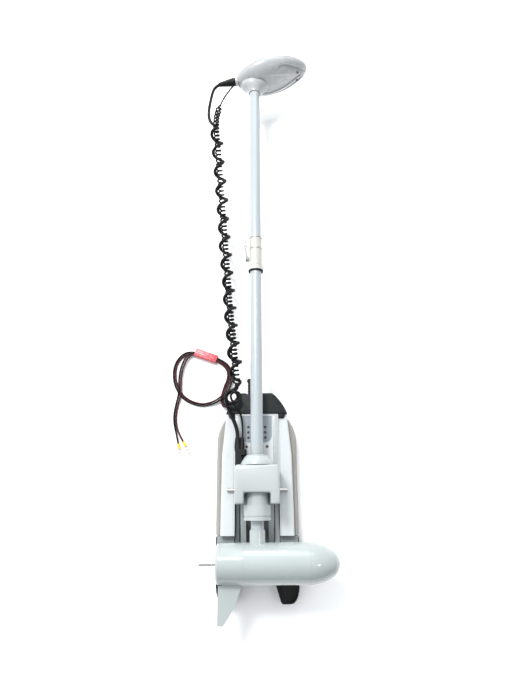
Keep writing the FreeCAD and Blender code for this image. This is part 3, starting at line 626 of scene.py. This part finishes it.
def control_head():
    own(head_shell("head_lower", False, HEAD_WHITE), "shaft", "white_plastic", "head_lower_shell")
    own(head_shell("head_dome", True, HEAD_WHITE), "shaft", "white_plastic", "head_upper_shell")
    flare = [(1.0665, 0.0152), (1.0665, 0.0178), (1.069, 0.0186), (1.073, 0.0205), (1.077, 0.0240),
             (1.081, 0.0290), (1.085, 0.0345), (1.0885, 0.0385), (1.092, 0.0405), (1.097, 0.0412),
             (1.104, 0.0412)]
    boss = lathe("head_flare", flare, (0, 0, SHAFT_Z), (0, 1, 0), HEAD_WHITE)
    for vertex in boss.data.vertices:
        squeeze = 1 - FLARE_SQUEEZE * ease(vertex.co.y, 1.072, 1.090)
        vertex.co.z = SHAFT_Z + (vertex.co.z - SHAFT_Z) * squeeze
    own(boss, "shaft", "white_plastic", "head_boss")
    tail = head_place(-HEAD_HALF[0], 0, 0)
    back = (head_place(-1, 0, 0) - head_place(0, 0, 0)).normalized()
    cuff = [(-0.004, 0.0), (-0.004, 0.0135), (0.002, 0.0135), (0.004, 0.0125), (0.004, 0.0)]
    own(lathe("tail_cuff", cuff, tail, back, HEAD_WHITE), "shaft", "white_plastic")
    boot = [(0.004, 0.0), (0.004, 0.0118), (0.010, 0.0122)]
    for k in range(5):
        start = 0.012 + k * 0.0078
        radius = 0.0118 - k * 0.0011
        boot += [(start, radius), (start + 0.005, radius - 0.0004), (start + 0.0056, radius - 0.0014)]
        boot += [(start + 0.007, radius - 0.0014)]
    boot += [(0.0525, 0.0062), (0.054, 0.0048), (0.054, 0.0)]
    own(lathe("tail_boot", boot, tail, back, BLACK), "shaft", "black_plastic", "strain_relief")
    row = ((-0.086, 0.022), (-0.006, 0.026), (0.074, 0.014))
    places = [(x, side * z) for side in (1, -1) for x, z in row]
    for k, (x, z) in enumerate(places):
        bulge = math.sqrt(1 - (x / HEAD_HALF[0]) ** 2 - (z / HEAD_HALF[2]) ** 2)
        drop = HEAD_HALF[1] * bulge - HEAD_STEP
        down = (head_place(0, -1, 0) - head_place(0, 0, 0)).normalized()
        cup = [(-0.001, 0.0034), (0.0008, 0.0034), (0.0012, 0.003), (0.0012, 0.002), (0.0002, 0.0016),
               (0.0002, 0)]
        screw = lathe("head_screw_%d" % k, cup, head_place(x, -drop, z), down, IRON, 20)
        own(screw, "shaft", "steel", *(["head_screws"] if k == 0 else []))


# ------------------------------------------------------------------ steering housing

def housing():
    """The cast box with cheeks each side of the barrel, its lugs and a lid, all softly rounded."""
    plan = [(0.030, -0.095), (0.052, -0.095), (0.052, -0.012), (0.047, -0.0068),
            (-0.047, -0.0068), (-0.052, -0.012), (-0.052, -0.095), (-0.030, -0.095), (-0.030, -0.070),
            (0.030, -0.070)]
    body = prism("housing_body", plan, 0.094, 0.150, 0.004, WHITE)
    own(body, "steering_housing", "white_plastic", "housing_shell")
    lid = [(0.0305, -0.0945), (0.0515, -0.0945), (0.0515, -0.020), (0.045, -0.0085), (-0.045, -0.0085),
           (-0.0515, -0.020), (-0.0515, -0.0945), (-0.0305, -0.0945), (-0.0305, -0.069), (0.0305, -0.069)]
    lid = prism("housing_lid", lid, 0.1503, 0.162, 0.0045, WHITE)
    own(lid, "steering_housing", "white_plastic", "housing_cover")
    for side in (-1, 1):
        outline = [(side * x, y) for x, y in
                   ((0.0415, -0.078), (0.0515, -0.078), (0.0515, -0.045), (0.0415, -0.045))]
        lug = prism("housing_lug", outline, 0.068, 0.097, 0.002, WHITE)
        own(lug, "steering_housing", "white_plastic")
    collar = [(-0.007, 0.0), (-0.007, 0.0385), (-0.002, 0.0380), (0.004, 0.0345), (0.010, 0.0300),
              (0.0125, 0.0285), (0.0128, 0.0262), (0.0150, 0.0260), (0.0162, 0.0248), (0.0162, 0.0152),
              (0.010, 0.0152)]
    own(lathe("housing_neck", collar, (0, 0, SHAFT_Z), (0, 1, 0), WHITE, angle=25), "steering_housing",
        "white_plastic", "housing_collar")
    line = [(0.0162, 0.0158), (0.0166, 0.0158), (0.0166, 0.0246), (0.0162, 0.0246)]
    own(lathe("neck_seal", line, (0, 0, SHAFT_Z), (0, 1, 0), RUBBER, angle=25), "steering_housing", None)


# ------------------------------------------------------------------ base

def cap_outline(inset, notch=()):
    half = [(0.0775 - inset, 0.1212)]
    bend = ((0.0765 - inset, 0.1240), (0.0670 - inset, 0.1480), (0.0480 - inset, 0.1670 - inset))
    half += arc_outline([bend], 6)
    half.append((0.0400 - inset, 0.1742 - inset))
    return half + list(notch) + [(-x, y) for x, y in reversed(half)]


def rear_cap():
    """The cap's body, open at the back for the release lever, and its lipped top."""
    notch = ((-0.010, 0.1742), (-0.010, 0.148), (-0.026, 0.148), (-0.026, 0.1742))
    body = prism("cap_body", cap_outline(0, notch), 0.005, 0.0774, 0.003, CAP)
    own(body, "mount_base", "black_plastic", "rear_cap")
    own(prism("cap_top", cap_outline(0.003), 0.0772, 0.0822, 0.0022, CAP), "mount_base", "black_plastic")
    for side in (-1, 1):
        ridge = [(side * x, y) for x, y in
                 ((0.0620, 0.1430), (0.0440, 0.1655), (0.0380, 0.1655), (0.0380, 0.1640), (0.0433, 0.1640),
                  (0.0605, 0.1425))]
        own(prism("cap_ridge", ridge, 0.081, 0.0834, 0.0006, CAP), "mount_base", "black_plastic")
        tab = [(side * x, y) for x, y in ((0.0545, 0.110), (0.068, 0.110), (0.074, 0.125), (0.0545, 0.125))]
        own(prism("cap_tab", tab, 0.0735, 0.0800, 0.002, BLACK), "mount_base", "black_plastic")


def ramp_top(high):
    """The height of a ramp's top: level, then falling toward its front end."""
    return lambda x, y: high - RAMP_FALL * ease(-y, 0.262, 0.335)


def ramps():
    for side, node in ((-1, "left_ramp"), (1, "right_ramp")):
        half = [(0.0545, -0.1678), (0.0998, -0.1678)]
        half += arc_outline([((0.0985, -0.282), (0.0965, -0.3215), (0.076, -0.3215)),
                             ((0.061, -0.3215), (0.056, -0.3215), (0.0535, -0.314))], 8)
        half += [(0.0432, -0.280), (0.0432, -0.2292), (0.0545, -0.2292)]
        outline = [(side * x, y) for x, y in half]
        block = prism(node + "_block", outline, 0.0, 0.054, 0.005, BLACK_GLOSS, ramp_top(0.054))
        own(block, "mount_base", "black_plastic", node)
        rim = [(side * x, y) for x, y in
               ((0.0975, -0.232), (0.0935, -0.232), (0.0915, -0.296), (0.0950, -0.290))]
        edge = prism(node + "_rim", rim, 0.048, 0.0552, 0.0012, BLACK_GLOSS, ramp_top(0.0552))
        own(edge, "mount_base", "black_plastic")


def ramp_shoes():
    """Grey bridges between the rails' ends and the ramps, in under the motor."""
    for side in (-1, 1):
        outline = [(side * 0.0548, -0.1678), (side * 0.0965, -0.1678), (side * 0.0965, -0.2150),
                   (side * 0.0548, -0.2150)]
        own(prism("ramp_shoe", outline, 0.050, 0.0548, 0.0008, SHOE), "mount_base", "grey_plastic")


def gland_boots():
    """Rubber boots where the two cords enter the gland block."""
    for (x, y, z), (x1, y1, z1), wide in (((-0.0455, 0.0316, 0.104), (-0.047, 0.056, 0.097), 0.0085),
                                          ((-0.036, 0.0316, 0.104), (-0.0358, 0.050, 0.0992), 0.0065)):
        start = Vector((x, y - 0.004, z))
        away = Vector((x1, y1, z1)) - start
        boot = [(0, 0), (0, wide), (0.012, wide), (0.024, wide * 0.85), (0.034, wide * 0.62), (0.034, 0)]
        own(lathe("gland_boot", boot, start, away, RUBBER, 32), "steering_sleeve", "black_rubber")


def seams():
    """Joints between the mouldings: dark strips along the rails and thin rings round the motor."""
    for side in (-1, 1):
        inner = [(side * x, y) for x, y in
                 ((0.0572, -0.166), (0.0578, -0.166), (0.0578, 0.118), (0.0572, 0.118))]
        own(prism("rail_seam", inner, 0.0738, 0.0742, 0.0001, SEAM), "mount_base", None)
        rib = [(side * x, y) for x, y in ((0.040, -0.020), (0.052, -0.020), (0.052, 0.117), (0.040, 0.117))]
        own(prism("cover_rib", rib, 0.077, 0.0796, 0.0012, WHITE), "mount_base", "white_plastic")
    for x in (-0.032, 0.115):
        ring = [(-0.0003, 0.0443), (-0.0003, 0.0446), (0.0003, 0.0446), (0.0003, 0.0443)]
        own(lathe("motor_seam", ring, (x, MOTOR_Y, SHAFT_Z), (1, 0, 0), SEAM, 96), "shaft", None)


def plate_screws():
    for k, (x, y, radius) in enumerate(
            [(side * 0.021, y, 0.0026) for side in (-1, 1) for y in (0.062, 0.075, 0.088)]
            + [(side * 0.0252, 0.040, 0.0026) for side in (-1, 1)]):
        cup = [(-0.002, radius + 0.0008), (0.0006, radius + 0.0008), (0.001, radius), (0.001, radius * 0.7),
               (0.0002, radius * 0.5), (0.0002, 0)]
        top = 0.0778 if y < 0.05 else 0.0774
        screw = lathe("plate_screw_%d" % k, cup, (x, y, top), (0, 0, 1), IRON, 20)
        own(screw, "mount_base", "steel", *(["cover_screws"] if k == 0 else []))


def label():
    """The folded label round the coiled leads."""
    c, s = math.cos(TAG_TURN), math.sin(TAG_TURN)
    corners = [(0.032, 0.0105), (-0.032, 0.0112), (-0.0325, -0.0108), (0.0315, -0.0112)]
    outline = [(TAG_CENTRE[0] + x * c - y * s, TAG_CENTRE[1] + x * s + y * c) for x, y in corners]
    wrap = prism("label_fold", outline, 0.0, 0.0150, 0.002, LABEL)
    return own(wrap, "mount_base", "red_label", "lead_tag")


def collar_bail():
    """Wire bails from the toggle's tip over the sleeve, and the bands that they draw tight."""
    tip = (-0.0325, 0.566, 0.121)
    for across in (0.588, 0.556):
        wire = [tip, (-0.026, (across + 0.572) / 2, 0.130), (-0.014, across, 0.1335),
                (0.002, across, 0.1385), (0.013, across, 0.1340), (0.0180, across, 0.1220)]
        bail = cord_tube("bail_wire", wire, BAIL_D, STEEL)[0]
        own(bail, "depth_collar", "steel")
    toggle = [(0, 0), (0, 0.0022), (0.004, 0.0030), (0.016, 0.0026), (0.036, 0.0022), (0.0375, 0.0)]
    own(lathe("bail_toggle", toggle, tip, (0.30, -0.95, 0), COLLAR, 24), "depth_collar", "steel")
    for y in (0.588, 0.556, 0.509):
        band = [(-0.0012, 0.0165), (-0.0012, 0.0171), (0.0012, 0.0171), (0.0012, 0.0165)]
        own(lathe("sleeve_band", band, (0, y, SHAFT_Z), (0, 1, 0), COLLAR), "depth_collar", "grey_plastic")


dress_frame()
head_cords()
power_leads(label())
control_head()
housing()
rear_cap()
ramps()
ramp_shoes()
gland_boots()
seams()
plate_screws()
collar_bail()
floor()
lights()
camera()
